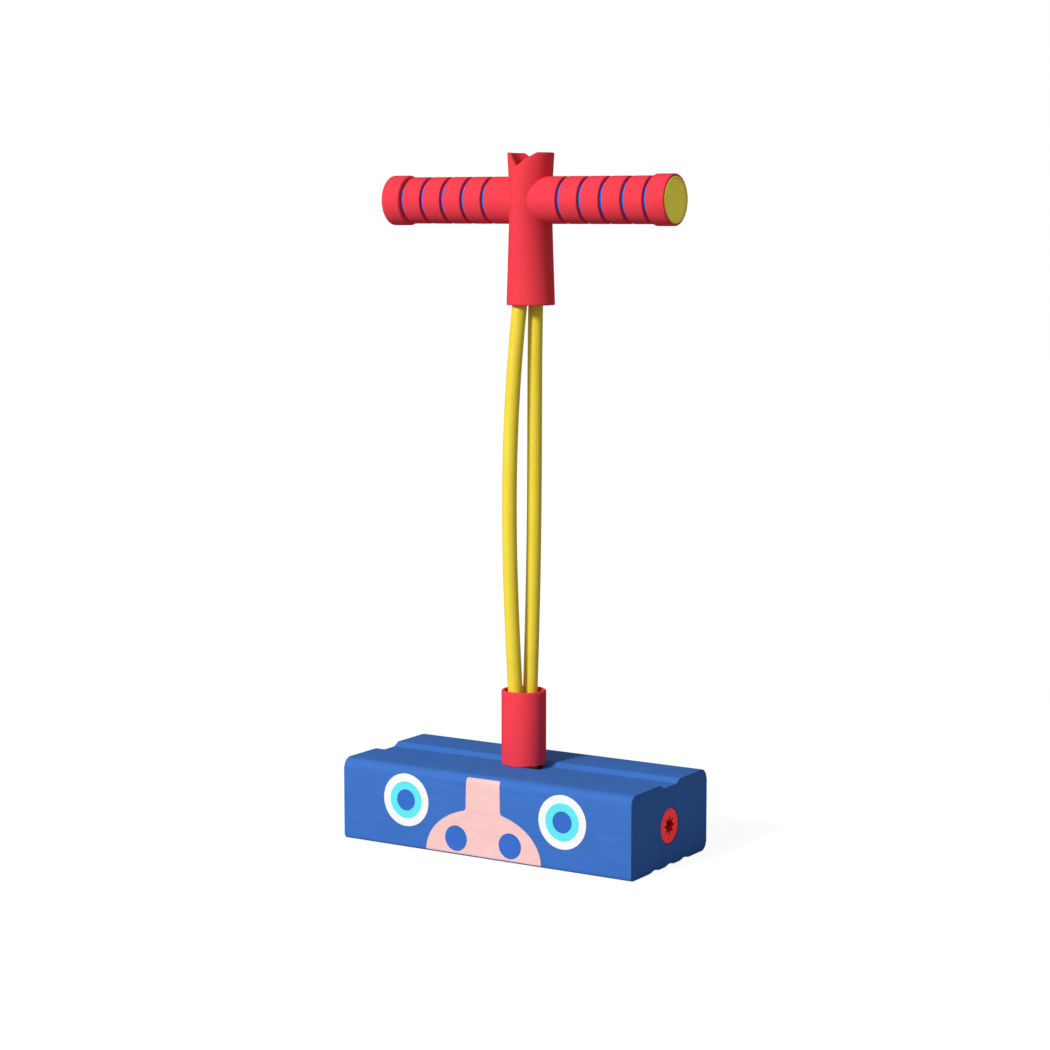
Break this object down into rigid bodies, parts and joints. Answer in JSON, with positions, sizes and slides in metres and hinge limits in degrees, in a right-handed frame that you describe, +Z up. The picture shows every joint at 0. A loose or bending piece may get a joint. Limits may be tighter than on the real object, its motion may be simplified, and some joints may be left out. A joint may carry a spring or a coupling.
{
  "type": "foam pogo jumper",
  "caption": "Child's foam pogo jumper: a grooved foam block to stand on, an elastic cord loop, a foam-covered handlebar and squeakers in the block's ends.",
  "frame": {"origin": "centre of the block's underside, on the floor", "axes": "+X along the block and the handlebar, -Y towards the block's front, +Z up"},
  "size_m": [0.25, 0.1146, 0.516],
  "materials": {
    "block_foam": "matte",
    "red_foam": "matte",
    "blue_foam": "matte",
    "elastic_cord": "satin",
    "yellow_plastic": "satin",
    "red_rubber": "satin",
    "bulb_rubber": "matte",
    "reed_plastic": "matte",
    "tube_plastic": "satin",
    "tie_band": "matte"
  },
  "bodies": {
    "block": {"base_block": "block_foam", "underside_plug": "block_foam", "anchor_tube": "tube_plastic", "cord_collar": "red_foam"},
    "cord_foot": {"lower_cord_tie": "tie_band"},
    "cord": {"cord_loop": "elastic_cord"},
    "cord_head": {"upper_cord_tie": "tie_band"},
    "sleeve": {"handle_sleeve": "red_foam"},
    "handlebar": {"core_tube": "tube_plastic", "left_grip_core": "blue_foam", "left_grip_inner": "red_foam", "left_grip_rings": "red_foam", "left_end_flange": "red_foam", "left_end_cap": "yellow_plastic", "right_grip_core": "blue_foam", "right_grip_inner": "red_foam", "right_grip_rings": "red_foam", "right_end_flange": "red_foam", "right_end_cap": "yellow_plastic"},
    "left_squeaker": {"left_squeaker_plug": "red_rubber", "left_squeaker_bulb": "bulb_rubber", "left_squeaker_reed": "reed_plastic"},
    "right_squeaker": {"right_squeaker_plug": "red_rubber", "right_squeaker_bulb": "bulb_rubber", "right_squeaker_reed": "reed_plastic"}
  },
  "joints": [
    {"name": "sway_fore_aft", "type": "hinge", "parent": "block", "child": "cord_foot", "pos_m": [0, 0, 0.112], "axis": [1, 0, 0], "range_deg": [-15, 15], "stiffness_Nm_per_rad": 3},
    {"name": "sway_sideways", "type": "hinge", "parent": "cord_foot", "child": "cord", "pos_m": [0, 0, 0.112], "axis": [0, 1, 0], "range_deg": [-20, 20], "stiffness_Nm_per_rad": 3},
    {"name": "cord_stretch", "type": "slide", "parent": "cord", "child": "cord_head", "axis": [0, 0, 1], "range_m": [0, 0.2], "stiffness_N_per_m": 400, "deforming": ["cord_loop"]},
    {"name": "handle_twist", "type": "hinge", "parent": "cord_head", "child": "sleeve", "pos_m": [0.004, 0.0032, 0.425], "axis": [0, 0, 1], "range_deg": [-45, 45], "stiffness_Nm_per_rad": 0.5},
    {"name": "handlebar_roll", "type": "hinge", "parent": "sleeve", "child": "handlebar", "pos_m": [0.004, 0.0032, 0.4815], "axis": [1, 0, 0], "continuous": true},
    {"name": "left_squeaker_press", "type": "slide", "parent": "block", "child": "left_squeaker", "axis": [1, 0, 0], "range_m": [0, 0.003], "stiffness_N_per_m": 1500},
    {"name": "right_squeaker_press", "type": "slide", "parent": "block", "child": "right_squeaker", "axis": [-1, 0, 0], "range_m": [0, 0.003], "stiffness_N_per_m": 1500}
  ]
}
